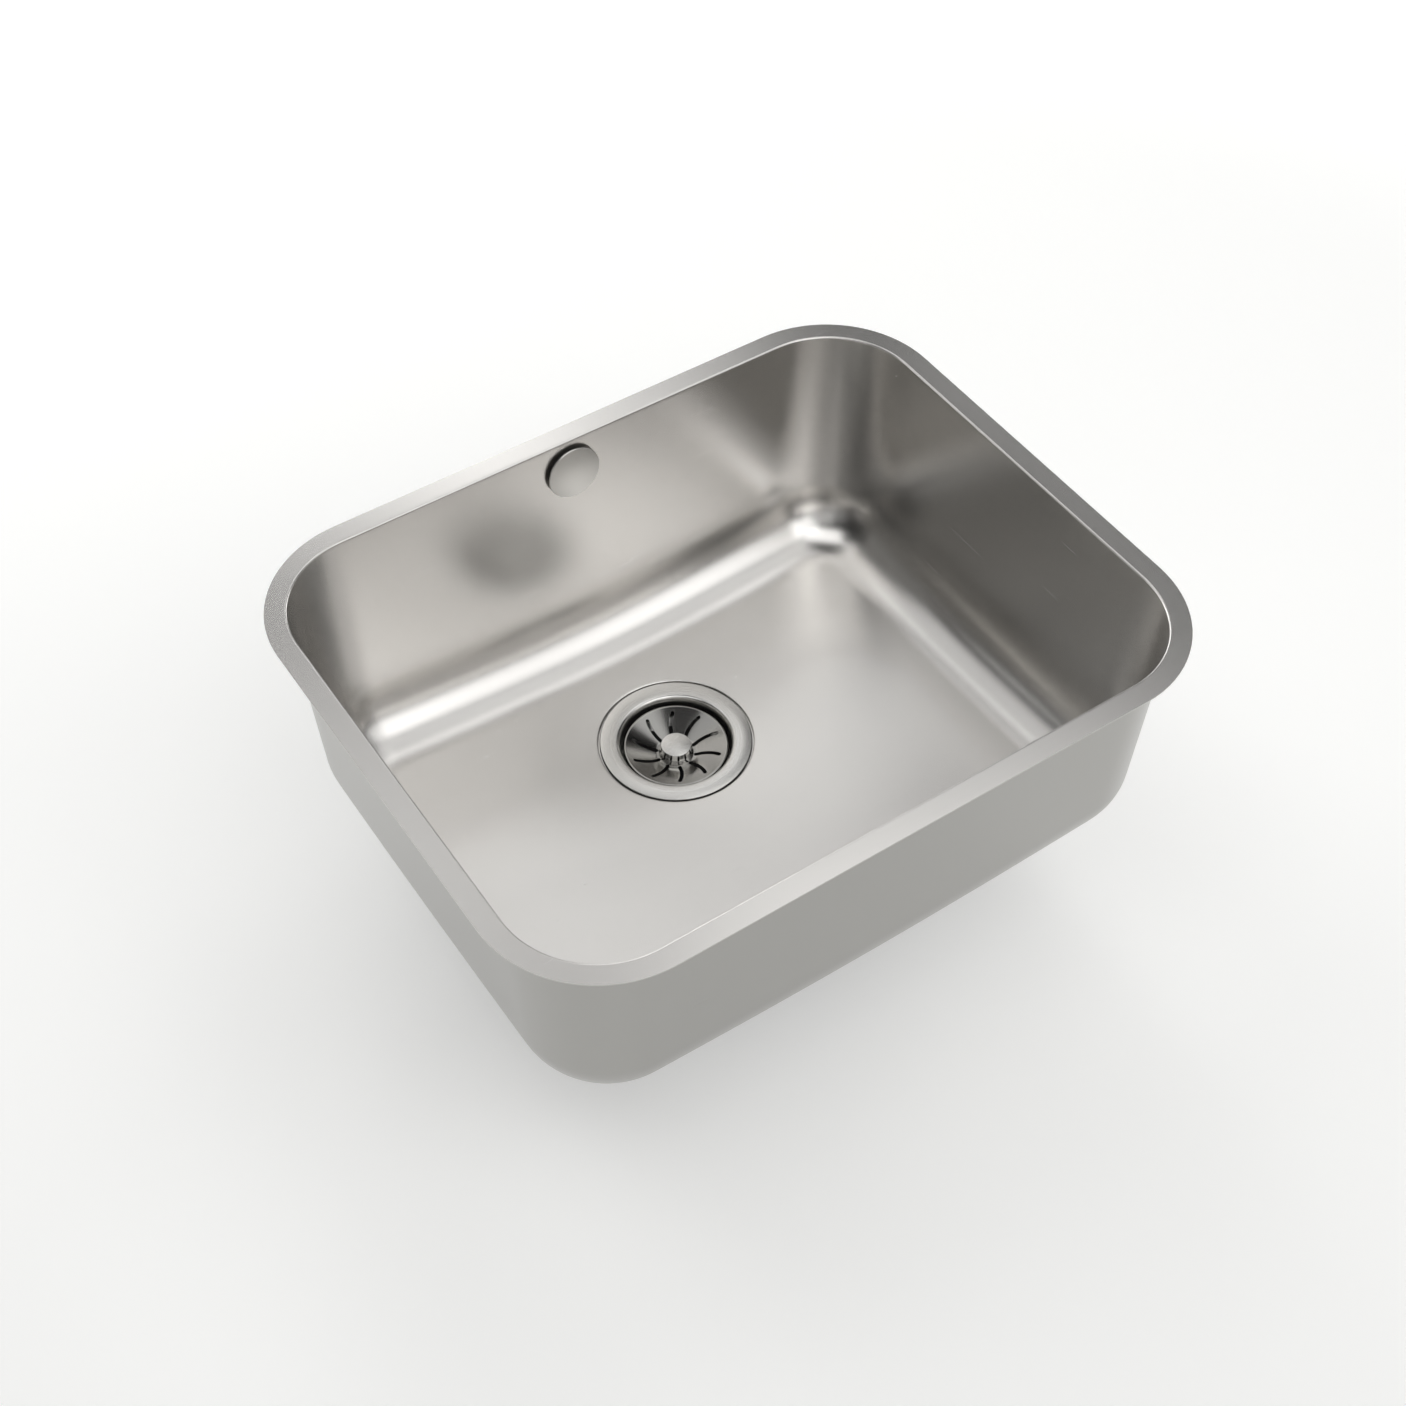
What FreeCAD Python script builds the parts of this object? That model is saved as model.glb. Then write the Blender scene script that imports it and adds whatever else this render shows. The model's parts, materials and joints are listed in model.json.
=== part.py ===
import FreeCAD, Part
import math
import os

from FreeCAD import Vector

# Undermount kitchen sink with basket strainer and overflow, in millimetres.
# Origin: middle of the rim's top face. +X runs along the long side, +Y to the wall
# with the overflow, +Z up.

# Bowl, pressed from sheet
opening_length = 500.0  # inside, at the top
opening_width = 400.0
rim_width = 16.0
rim_corner = 86.0
sheet = 1.0
edge_bend = 1.5  # inside radius between rim and wall
corner_top = 67.8  # inside corner of the bowl under the rim
corner_base = 60.8  # the same corner at the depth of the floor
wall_draft = 2.75  # degrees
base_bend = 49.0  # inside radius between wall and floor
bowl_depth = 200.0  # rim to strainer ring
floor_slope = 4.6  # degrees, falling to the drain from all sides
drain_y = 64.5  # drain centre behind the middle of the bowl
drain_gap = 2.5  # round the strainer's cup, in the bowl's hole
edge_gap = 0.8  # round the strainer ring, in its recess

# Roundings of small edges, and how far every cutter passes the face that it cuts
fine_round = 0.4
small_round = 0.7
moulded_round = 1.0
through = 1.0

# Sound-deadening pad glued under the floor
pad_thickness = 2.5
pad_half_length = 160.0
pad_front = -120.0
pad_back = 128.0
pad_corner = 22.0
pad_hole = 70.0

# Strainer ring and cup
ring_radius = 57.5
ring_sheet = 1.0
ring_bend = 3.0
ring_seal = 1.0
ring_width = 16.0  # from its edge in to the cup's wall
cup_wall_end = 22.0  # depths below the ring's top face
cup_seat_end = 31.0
cup_floor = 36.0
cup_bend = 3.0
seat_bend = 2.0
seat_width = 11.5  # of the cone that the stopper closes
window_inner = 13.0
window_edge = 2.5  # left standing between windows and throat
window_count = 6
spoke_width = 4.0

# Basket with its knob, stem and stopper
basket_gap = 3.0  # round the basket's rim, in the cup
basket_rim_depth = 4.7
basket_sheet = 0.8
basket_lip = 1.5
basket_skirt = 5.0
lip_bend = 1.2
dish_bend = 5.0
dish_floor_radius = 15.5
dish_depth = 15.0
slot_count = 10
slot_width = 1.9
slot_inner = 15.0
slot_margin = 5.5  # from the slots' outer ends to the basket's rim
slot_lag = -5.0  # degrees that the outer end trails the inner end
slot_bulge = 9.0  # degrees that the middle leads the inner end
knob_radius = 11.8
knob_top = 6.0
knob_side = 6.0  # height of its straight side
knob_neck = 1.0  # height of the taper under it
knob_waist = 10.8
knob_foot = 13.0
stem_radius = 3.0
stem_collar = 7.0
stopper_thickness = 4.5
stopper_hub = 9.0
stopper_edge = 1.5  # chamfer over the lip
stopper_boss = 0.6  # of the hub below the disc
soft_gap = 0.3  # between the rubber stopper and its seat
stem_end_gap = 1.0  # under the stem's end, in the screw's bore
catch_wall = 1.2
catch_end_gap = 2.0
catch_gap = 0.2

# Clamping screw through the cup into the waste body
screw_head_radius = 9.5
screw_head_height = 6.0
screw_neck_radius = 6.5
screw_neck_length = 11.0
screw_thread = 4.0
screw_bore_end = 42.0  # below the ring's top face
screw_end_gap = 1.0  # under the screw, in the closed hub
hole_gap = 0.2
insert_radius = 8.0
insert_height = 12.0

# Waste body under the bowl
gasket_thickness = 3.0
gasket_width = 10.5
body_flange_inset = 0.5  # of the body's flange and gasket, inside the strainer ring's edge
body_flange = 4.0
body_lip = 7.0  # that its flange stands out
body_wall = 3.0
body_cone_start = 48.0  # below the ring's top face
body_cone_end = 72.0
outlet_radius = 23.9  # outside of the thread for the trap
outlet_bore = 20.5
outlet_length = 26.0
body_bend = 8.0
outlet_bend = 3.0
hub_wall = 4.0
hub_depth = 50.0
rib_count = 3
rib_width = 4.0
branch_depth = 28.0  # axis of the overflow branch

# Hose with a union nut and a seal at both ends
hose_radius = 10.0
hose_bore = 7.6
cuff_radius = 10.5
cuff_length = 18.0
socket_radius = 10.8
socket_length = 12.0
spigot_radius = 13.0
spigot_bore = 9.0
cuff_reach = 10.0  # of the hose inside its socket
seal_height = 3.0
nut_radius = 16.2
nut_gap = 0.25
nut_cover = 10.0  # of the nut over the spigot
nut_end = 2.5
nut_grooves = 12
groove_radius = 1.6
branch_reach = 26.0  # of the branch beyond the waste body

# Overflow in the back wall; depths count from the wall's inside face
overflow_z = -28.0
overflow_hole = 14.5
cap_radius = 21.0
cap_face = 4.0
cap_sheet = 1.2
cap_round = 0.6
stub_radius = 4.65
stub_gap = 0.1
stub_end = -3.4
face_radius = 17.5
face_sheet = 1.5
face_neck_gap = 1.0
face_neck_wall = 2.0
face_neck_length = 2.6
face_tube_wall = 1.45
face_tube_top = 2.0
face_tube_floor = -7.0
face_tube_end = -9.0
face_spokes = 4
face_spoke_width = 3.0
overflow_screw = 2.4
overflow_head = 4.4
overflow_head_height = 3.0
overflow_screw_end = -25.0
elbow_flange_radius = 20.0
elbow_flange = 2.5
elbow_gasket = 2.0
elbow_radius = 14.5
elbow_bore = 12.0
elbow_boss = 5.5
elbow_boss_front = -13.0
elbow_drop = 36.0
nut_wall_gap = 0.8

draft = math.radians(wall_draft)
fall = math.tan(math.radians(floor_slope))
recess_radius = ring_radius + edge_gap
cup_radius = ring_radius - ring_width  # inside
drain_hole = cup_radius + ring_sheet + drain_gap  # radius
throat_radius = cup_radius - seat_width
basket_rim_radius = cup_radius - basket_gap
slot_outer = basket_rim_radius - slot_margin
seat_drop = ring_sheet + ring_seal
ring_top = Vector(0, drain_y, -bowl_depth)
bowl_underside = seat_drop + sheet  # below the ring's top face, at the drain
body_top = bowl_underside + gasket_thickness
body_flange_radius = ring_radius - body_flange_inset
body_radius = body_flange_radius - body_lip
wall_face = Vector(0, opening_width / 2 + overflow_z * math.tan(draft), overflow_z)
elbow_top = sheet + elbow_gasket
hose_offset = sheet + nut_wall_gap + nut_radius  # hose axis behind the wall's inside face
UP = Vector(0, 0, 1)


def rounded_wire(corners, closed=True):
    """Wire through the corners, each rounded by its own radius with a tangent arc."""
    count = len(corners)
    stretches = []
    for index, (point, radius) in enumerate(corners):
        if radius == 0:
            stretches.append((point, None, point))
            continue
        back = (corners[index - 1][0] - point).normalize()
        ahead = (corners[(index + 1) % count][0] - point).normalize()
        half = back.getAngle(ahead) / 2
        reach = radius / math.tan(half)
        middle = (back + ahead).normalize() * (radius / math.sin(half) - radius)
        stretches.append((point + back * reach, point + middle, point + ahead * reach))
    edges = []
    for index, (start, middle, end) in enumerate(stretches):
        if middle is not None:
            edges.append(Part.Arc(start, middle, end).toShape())
        following = stretches[(index + 1) % count][0]
        if (closed or index < count - 1) and end.distanceToPoint(following) > 1e-6:
            edges.append(Part.LineSegment(end, following).toShape())
    return Part.Wire(edges)


def turned(corners):
    """Solid of revolution about Z; each corner is radius, height and rounding."""
    wire = rounded_wire([(Vector(r, 0, z), rounding) for r, z, rounding in corners])
    return Part.Face(wire).revolve(Vector(0, 0, 0), UP, 360)


def disc(radius, bottom, top):
    """Upright cylinder between two heights."""
    return Part.makeCylinder(radius, top - bottom, Vector(0, 0, bottom))


def ring(outer, inner, bottom, top):
    """Upright ring with a rectangular section."""
    return disc(outer, bottom, top).cut(disc(inner, bottom - through, top + through))


def spokes(count, width, reach, bottom, top):
    """Radial bars from the axis, spread evenly."""
    bar = Part.makeBox(reach, width, top - bottom, Vector(0, -width / 2, bottom))
    bars = []
    for index in range(count):
        copy = bar.copy()
        copy.rotate(Vector(0, 0, 0), UP, index * 360 / count)
        bars.append(copy)
    return bars


def rounded_rectangle(half_length, half_width, radius, z):
    """Closed wire of a rectangle with four equal corners, about the Z axis."""
    signs = ((1, -1), (1, 1), (-1, 1), (-1, -1))
    return rounded_wire([(Vector(i * half_length, j * half_width, z), radius) for i, j in signs])


def at_drain(shape):
    """Moves a piece that was drawn about the ring's top face to the drain."""
    shape.translate(ring_top)
    return shape


def overflow_placement():
    """Local Z points out of the wall into the bowl, local Y up along the wall."""
    return FreeCAD.Placement(wall_face, FreeCAD.Rotation(Vector(1, 0, 0), 90 - wall_draft))


def at_overflow(shape):
    """Moves a piece that was drawn on the wall's inside face to the overflow."""
    shape.Placement = overflow_placement().multiply(shape.Placement)
    return shape


def bowl_section(z, offset):
    """Outline of the bowl's walls at a height, grown by the offset."""
    inset = z * math.tan(draft) + offset
    corner = corner_top + (corner_top - corner_base) * z / bowl_depth + offset
    return rounded_rectangle(opening_length / 2 + inset, opening_width / 2 + inset, corner, z)


def floor_above(offset, top):
    """Everything above the cone-shaped floor, grown downwards by the offset."""
    reach = opening_length
    level = -offset / math.cos(math.radians(floor_slope))
    lip = recess_radius + offset
    far = level + (reach - recess_radius) * fall
    near = level + (lip - recess_radius) * fall
    outline = [(0, top), (reach, top), (reach, far), (lip, near), (0, near)]
    return at_drain(turned([(r, z, 0) for r, z in outline]))


def basin(offset, top):
    """Solid that fills the bowl up to a height, grown by the offset."""
    bottom = -bowl_depth - base_bend
    walls = Part.makeLoft([bowl_section(top, offset), bowl_section(bottom, offset)], True, True)
    block = walls.common(floor_above(offset, bowl_depth + base_bend))
    foot = []
    for edge in block.Edges:
        reach = min(math.hypot(v.X, v.Y - drain_y) for v in edge.Vertexes)
        if edge.BoundBox.ZMax < -bowl_depth / 2 and reach > recess_radius + offset + fine_round:
            foot.append(edge)
    block = block.makeFillet(base_bend + offset, foot)
    recess = disc(recess_radius + offset, -seat_drop - offset, base_bend)
    return block.fuse(at_drain(recess))


def bend_edges(shape, z, offset):
    """Edges at a height along the bowl's opening, inside the rim's outer edge."""
    reach = offset + rim_width / 2
    found = []
    for edge in shape.Edges:
        box = edge.BoundBox
        level = max(abs(box.ZMin - z), abs(box.ZMax - z)) < 0.01
        long_side = max(abs(box.XMin), abs(box.XMax)) < opening_length / 2 + reach
        short_side = max(abs(box.YMin), abs(box.YMax)) < opening_width / 2 + reach
        if level and long_side and short_side:
            found.append(edge)
    return found


def bowl():
    """Pressed bowl with its flat rim, strainer recess and two holes."""
    rim = rounded_rectangle(opening_length / 2 + rim_width, opening_width / 2 + rim_width,
                            rim_corner, -sheet)
    rim = Part.Face(rim).extrude(Vector(0, 0, sheet))
    outside = rim.fuse(basin(sheet, -sheet / 2))
    outside = outside.makeFillet(edge_bend + sheet, bend_edges(outside, -sheet, sheet))
    shape = outside.cut(basin(0, sheet))
    shape = shape.makeFillet(edge_bend, bend_edges(shape, 0, 0))
    shape = shape.cut(at_drain(disc(drain_hole, -bowl_underside - through, 0)))
    return shape.cut(at_overflow(disc(overflow_hole, -sheet - through, through)))


def base_pad():
    """Pad glued to the underside of the sloping floor, round the waste body."""
    length = 2 * pad_half_length
    outline = rounded_rectangle(length / 2, (pad_back - pad_front) / 2, pad_corner, 0)
    block = Part.Face(outline).extrude(Vector(0, 0, bowl_depth))
    block.translate(Vector(0, (pad_back + pad_front) / 2, -bowl_depth - base_bend))
    slab = floor_above(sheet + pad_thickness, bowl_depth).cut(floor_above(sheet, bowl_depth + through))
    return block.common(slab).cut(at_drain(disc(pad_hole, -base_bend, base_bend)))


def strainer_flange():
    """Ring in the recess, turned down into a cup with a windowed floor."""
    outer = cup_radius + ring_sheet
    throat = throat_radius + ring_sheet
    hole = screw_neck_radius + hole_gap
    shape = turned([
        (ring_radius, 0, fine_round), (cup_radius, 0, ring_bend),
        (cup_radius, -cup_wall_end, cup_bend),
        (throat_radius, -cup_seat_end, seat_bend), (throat_radius, -cup_floor, 0),
        (hole, -cup_floor, 0), (hole, -cup_floor - ring_sheet, 0),
        (throat, -cup_floor - ring_sheet, small_round), (throat, -cup_seat_end - ring_sheet / 2, 0),
        (outer, -cup_wall_end - ring_sheet / 2, 0), (outer, -ring_sheet, ring_bend - ring_sheet),
        (ring_radius, -ring_sheet, 0)])
    low = -cup_floor - ring_sheet - through
    high = -cup_floor + through
    windows = ring(throat_radius - window_edge, window_inner, low, high)
    for bar in spokes(window_count, spoke_width, cup_radius, low, high):
        windows = windows.cut(bar)
    return at_drain(shape.cut(windows))


def flange_seal():
    """Flat seal between the strainer ring and the recess."""
    return at_drain(ring(ring_radius, drain_hole, -seat_drop, -ring_sheet))


def slot_cutter(angle):
    """Upright cutter for one curved slot with round ends, starting at an angle."""
    turns = (angle, angle + slot_bulge, angle + slot_lag)
    radii = (slot_inner, (slot_inner + slot_outer) / 2, slot_outer)
    middle_line = [Vector(r * math.cos(math.radians(t)), r * math.sin(math.radians(t)), 0)
                   for r, t in zip(radii, turns)]
    centre = Part.Arc(*middle_line).toShape().Curve.Center
    sides = []
    for side in (1, -1):
        shift = side * slot_width / 2
        sides.append([p + (p - centre).normalize() * shift for p in middle_line])
    near, far = sides
    start_cap, end_cap = slot_ends(middle_line, centre)
    edges = [Part.Arc(*near), Part.Arc(near[2], end_cap, far[2]),
             Part.Arc(far[2], far[1], far[0]), Part.Arc(far[0], start_cap, near[0])]
    face = Part.Face(Part.Wire([edge.toShape() for edge in edges]))
    face.translate(Vector(0, 0, -2 * dish_depth))
    return face.extrude(Vector(0, 0, 2 * dish_depth))


def slot_ends(middle_line, centre):
    """Tips of the slot's two round ends, half a slot's width past its middle line."""
    tips = []
    for end in (middle_line[0], middle_line[2]):
        along = (end - centre).cross(UP).normalize()
        if along.dot(end - middle_line[1]) < 0:
            along = -along
        tips.append(end + along * (slot_width / 2))
    return tips


def basket():
    """Dished strainer with a turned-down rim and curved slots."""
    inner_lip = basket_rim_radius - basket_lip
    skirt = basket_rim_radius - basket_sheet
    under = dish_depth + basket_sheet
    shape = turned([
        (stem_radius + hole_gap, -dish_depth, 0), (dish_floor_radius, -dish_depth, dish_bend),
        (inner_lip, -basket_rim_depth, lip_bend),
        (basket_rim_radius, -basket_rim_depth, small_round),
        (basket_rim_radius, -basket_rim_depth - basket_skirt, 0),
        (skirt, -basket_rim_depth - basket_skirt, 0),
        (skirt, -basket_rim_depth - basket_sheet, 0),
        (inner_lip, -basket_rim_depth - basket_sheet, 0),
        (dish_floor_radius, -under, dish_bend), (stem_radius + hole_gap, -under, 0)])
    for index in range(slot_count):
        shape = shape.cut(slot_cutter(index * 360 / slot_count))
    return at_drain(shape)


def basket_knob():
    """Turned knob with a waist and a foot, threaded on the stem."""
    depth = (dish_depth + knob_top) / 2
    side_end = knob_top + knob_side
    return at_drain(turned([
        (0, -knob_top, 0), (knob_radius, -knob_top, small_round),
        (knob_radius, -side_end, fine_round), (knob_waist, -side_end - knob_neck, fine_round),
        (knob_foot, -dish_depth, 0), (stem_radius, -dish_depth, 0), (stem_radius, -depth, 0),
        (0, -depth, 0)]))


def stopper_top():
    """Depth of the stopper's top face, set by where its lip meets the cup's seat."""
    return (cup_wall_end + cup_seat_end) / 2 - stopper_thickness / 2


def basket_stem():
    """Stem from the knob through basket and stopper into the clamping screw."""
    top = (dish_depth + knob_top) / 2
    under = dish_depth + basket_sheet
    shape = disc(stem_radius, -screw_bore_end + stem_end_gap, -top)
    return at_drain(shape.fuse(disc(stem_collar, -stopper_top(), -under)))


def basket_stopper():
    """Rubber disc with a tapered lip that closes the cup's seat."""
    slope = (cup_radius - throat_radius) / (cup_seat_end - cup_wall_end)
    gap = soft_gap * math.hypot(1, slope)
    top = stopper_top()
    edge = top + stopper_thickness / 2
    bottom = top + stopper_thickness
    seat = cup_radius - (edge - cup_wall_end) * slope - gap
    tip = seat - (bottom - edge) * slope
    return at_drain(turned([
        (stem_radius, -top, 0), (seat - stopper_edge, -top, fine_round),
        (seat, -edge, fine_round), (tip, -bottom, fine_round), (stopper_hub, -bottom, 0),
        (stopper_hub, -bottom - stopper_boss, fine_round),
        (stem_radius, -bottom - stopper_boss, 0)]))


def stem_catch():
    """Plastic sleeve on the stem's end that clicks into the clamping screw."""
    radius = stem_radius + catch_wall
    top = cup_floor - screw_head_height + stem_end_gap
    end = screw_bore_end - catch_end_gap
    return at_drain(turned([
        (stem_radius, -top, 0), (radius, -top, fine_round), (radius, -end, small_round),
        (stem_radius, -end, 0)]))


def insert_top():
    """Depth of the brass insert's top face in the waste body's hub."""
    return hub_depth + hub_wall


def clamp_screw():
    """Hollow-headed screw that draws the cup and the waste body together."""
    bore = stem_radius + catch_wall + catch_gap
    neck_end = cup_floor + screw_neck_length
    head_top = cup_floor - screw_head_height
    end = insert_top() + insert_height - screw_end_gap
    return at_drain(turned([
        (bore, -head_top, fine_round), (screw_head_radius, -head_top, moulded_round),
        (screw_head_radius, -cup_floor, 0), (screw_neck_radius, -cup_floor, 0),
        (screw_neck_radius, -neck_end, small_round), (screw_thread, -neck_end, 0),
        (screw_thread, -end, small_round), (0, -end, 0), (0, -screw_bore_end, 0),
        (bore, -screw_bore_end, 0)]))


def clamp_insert():
    """Hexagonal brass nut moulded into the waste body's hub."""
    top = -insert_top()
    corner = Vector(insert_radius, 0, top - insert_height)
    points = [FreeCAD.Rotation(UP, 60 * index).multVec(corner) for index in range(7)]
    block = Part.Face(Part.makePolygon(points)).extrude(Vector(0, 0, insert_height))
    return at_drain(block.cut(disc(screw_thread, top - insert_height - through, top + through)))


def branch_cylinder(radius, start, end):
    """Cylinder along the overflow branch's axis, towards the back wall."""
    return Part.makeCylinder(radius, end - start, Vector(0, start, -branch_depth), Vector(0, 1, 0))


def waste_body():
    """Moulded body with a closed hub for the screw, an overflow branch and an outlet."""
    inner = body_radius - body_wall
    slant = body_wall / 3  # keeps the cone as thick as the walls
    flange_end = body_top + body_flange
    end = body_cone_end + outlet_length
    outside = turned([
        (0, -body_top, 0), (body_flange_radius, -body_top, 0),
        (body_flange_radius, -flange_end, moulded_round),
        (body_radius, -flange_end, moulded_round), (body_radius, -body_cone_start, body_bend),
        (outlet_radius, -body_cone_end, outlet_bend), (outlet_radius, -end, small_round),
        (0, -end, 0)])
    cavity = turned([
        (0, -body_top + through, 0), (inner, -body_top + through, 0),
        (inner, -body_cone_start + slant, body_bend),
        (outlet_bore, -body_cone_end + slant, outlet_bend),
        (outlet_bore, -end - through, 0), (0, -end - through, 0)])
    branch_end = body_radius + branch_reach
    shape = outside.fuse(branch_cylinder(spigot_radius, inner, branch_end))
    shape = shape.cut(cavity)
    shape = shape.cut(branch_cylinder(spigot_bore, inner - body_wall, branch_end))
    shape = shape.cut(branch_cylinder(socket_radius, branch_end - socket_length, branch_end + through))
    pocket_end = insert_top() + insert_height
    hub = disc(insert_radius + hub_wall, -pocket_end - hub_wall, -hub_depth)
    web = [bar.common(outside) for bar in
           spokes(rib_count, rib_width, body_radius, -pocket_end - hub_wall, -hub_depth)]
    shape = shape.fuse([hub] + web)
    pocket = clamp_insert()
    pocket.translate(-ring_top)
    shape = shape.cut(pocket)
    return at_drain(shape.cut(disc(screw_thread + hole_gap, -pocket_end, -hub_depth + through)))


def body_gasket():
    """Rubber ring between the bowl's underside and the waste body."""
    return at_drain(ring(body_flange_radius, body_flange_radius - gasket_width,
                         -body_top, -bowl_underside))


def union_nut():
    """Grooved nut about Z: the spigot ends at height 0, the hose leaves upwards."""
    inner = spigot_radius + nut_gap
    top = seal_height + nut_end
    shape = turned([
        (nut_radius, -nut_cover, small_round), (nut_radius, top, moulded_round),
        (cuff_radius + nut_gap, top, 0),
        (cuff_radius + nut_gap, seal_height, 0), (inner, seal_height, 0),
        (inner, -nut_cover, 0)])
    groove = disc(groove_radius, -nut_cover - through, top - nut_end)
    groove.translate(Vector(nut_radius + groove_radius / 2, 0, 0))
    for index in range(nut_grooves):
        cutter = groove.copy()
        cutter.rotate(Vector(0, 0, 0), UP, index * 360 / nut_grooves)
        shape = shape.cut(cutter)
    return shape


def union_seal():
    """Rubber ring about Z between the spigot's end and the nut."""
    return ring(spigot_radius, cuff_radius, 0, seal_height)


def at_branch(shape):
    """Turns a hose fitting from +Z to the end of the waste body's branch."""
    shape.rotate(Vector(0, 0, 0), Vector(1, 0, 0), -90)
    shape.translate(Vector(0, body_radius + branch_reach, -branch_depth))
    return at_drain(shape)


def at_elbow(shape):
    """Turns a hose fitting from +Z to the end of the overflow elbow's spigot."""
    shape.rotate(Vector(0, 0, 0), Vector(1, 0, 0), 90)
    shape.translate(Vector(0, -elbow_drop, -hose_offset))
    return at_overflow(shape)


def overflow_hose():
    """Hose from the elbow down behind the wall and under the bowl to the branch."""
    placement = overflow_placement()
    start = placement.multVec(Vector(0, cuff_reach - elbow_drop, -hose_offset))
    down = placement.Rotation.multVec(Vector(0, -1, 0))
    end = ring_top + Vector(0, body_radius + branch_reach - cuff_reach, -branch_depth)
    corner = start + down * ((end.z - start.z) / down.z)
    half = (start - corner).getAngle(end - corner) / 2
    bend = ((corner - end).Length - cuff_length) * math.tan(half)  # as wide as the room allows
    route = rounded_wire([(start, 0), (corner, bend), (end, 0)], closed=False)
    solids = []
    for radius in (hose_radius, hose_bore):
        circle = Part.Wire(Part.makeCircle(radius, start, down))
        solids.append(route.makePipeShell([circle], True, False))
    hose = solids[0]
    back = Vector(0, 1, 0)
    for point, direction in ((start, down), (end, back)):
        hose = hose.fuse(Part.makeCylinder(cuff_radius, cuff_length, point, direction))
    return hose.cut(solids[1])


def overflow_cap():
    """Round cover with a stub that pushes into the overflow face."""
    back = cap_face - cap_sheet
    return at_overflow(turned([
        (0, cap_face, 0), (cap_radius, cap_face, cap_round), (cap_radius, back, 0),
        (stub_radius, back, 0), (stub_radius, stub_end, fine_round), (0, stub_end, 0)]))


def overflow_face():
    """Plate on the wall with a neck through the hole and a tube for the cap's stub."""
    neck = overflow_hole - face_neck_gap
    bore = stub_radius + stub_gap
    tube = bore + face_tube_wall
    shape = disc(face_radius, 0, face_sheet).fuse(disc(neck, -face_neck_length, face_sheet))
    opening = disc(neck - face_neck_wall, -face_neck_length - through, face_sheet + through)
    for bar in spokes(face_spokes, face_spoke_width, neck, -face_neck_length - through, face_sheet):
        opening = opening.cut(bar)
    shape = shape.cut(opening)
    shape = shape.fuse(disc(tube, face_tube_end, face_tube_top))
    shape = shape.cut(disc(bore, face_tube_floor, face_tube_top + through))
    return at_overflow(shape.cut(disc(overflow_screw + hole_gap, face_tube_end - through, 0)))


def overflow_clamp_screw():
    """Screw through the overflow face into the elbow."""
    head_top = face_tube_floor + overflow_head_height
    shape = turned([
        (0, head_top, 0), (overflow_head, head_top, small_round), (overflow_head, face_tube_floor, 0),
        (overflow_screw, face_tube_floor, 0), (overflow_screw, overflow_screw_end, fine_round),
        (0, overflow_screw_end, 0)])
    socket = disc(overflow_head / 2, head_top - overflow_head_height / 2, head_top + through)
    return at_overflow(shape.cut(socket))


def overflow_gasket():
    """Rubber ring between the wall's outside and the elbow."""
    return at_overflow(ring(elbow_flange_radius, overflow_hole, -elbow_top, -sheet))


def spigot_cylinder(radius, start, end):
    """Cylinder along the elbow's spigot, downwards from the overflow's height."""
    return Part.makeCylinder(radius, end - start, Vector(0, -start, -hose_offset), Vector(0, -1, 0))


def elbow_ball(radius):
    """Tube behind the hole with a ball-shaped end, round the spigot's axis."""
    end = Part.makeSphere(radius, Vector(0, 0, -hose_offset))
    return end.fuse(disc(radius, -hose_offset, -elbow_top))


def overflow_elbow():
    """Moulded elbow that turns the overflow down behind the wall."""
    flange = disc(elbow_flange_radius, -elbow_top - elbow_flange, -elbow_top)
    outside = flange.fuse(elbow_ball(elbow_radius))
    outside = outside.fuse(spigot_cylinder(spigot_radius, 0, elbow_drop))
    shape = outside.cut(elbow_ball(elbow_bore))
    shape = shape.cut(spigot_cylinder(spigot_bore, 0, elbow_drop))
    shape = shape.cut(spigot_cylinder(socket_radius, elbow_drop - socket_length, elbow_drop + through))
    boss = disc(elbow_boss, -hose_offset - elbow_bore, elbow_boss_front)
    shape = shape.fuse(boss)
    return at_overflow(shape.cut(disc(overflow_screw, overflow_screw_end - through, 0)))


pieces = {
    "bowl": bowl(),
    "base_pad": base_pad(),
    "strainer_flange": strainer_flange(),
    "flange_seal": flange_seal(),
    "basket": basket(),
    "basket_knob": basket_knob(),
    "basket_stem": basket_stem(),
    "basket_stopper": basket_stopper(),
    "stem_catch": stem_catch(),
    "clamp_screw": clamp_screw(),
    "clamp_insert": clamp_insert(),
    "waste_body": waste_body(),
    "body_gasket": body_gasket(),
    "branch_nut": at_branch(union_nut()),
    "branch_seal": at_branch(union_seal()),
    "overflow_hose": overflow_hose(),
    "elbow_nut": at_elbow(union_nut()),
    "elbow_seal": at_elbow(union_seal()),
    "overflow_elbow": overflow_elbow(),
    "overflow_gasket": overflow_gasket(),
    "overflow_face": overflow_face(),
    "overflow_screw": overflow_clamp_screw(),
    "overflow_cap": overflow_cap(),
}

os.makedirs("parts", exist_ok=True)
for name, shape in pieces.items():
    shape.exportStep(f"parts/{name}.step")
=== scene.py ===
"""Undermount kitchen sink: pressed bowl, basket strainer, overflow and waste fitting."""

import json
import math

import bmesh
import bpy
from bpy.props import FloatProperty, FloatVectorProperty, IntProperty, PointerProperty
from mathutils import Matrix, Vector


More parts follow.
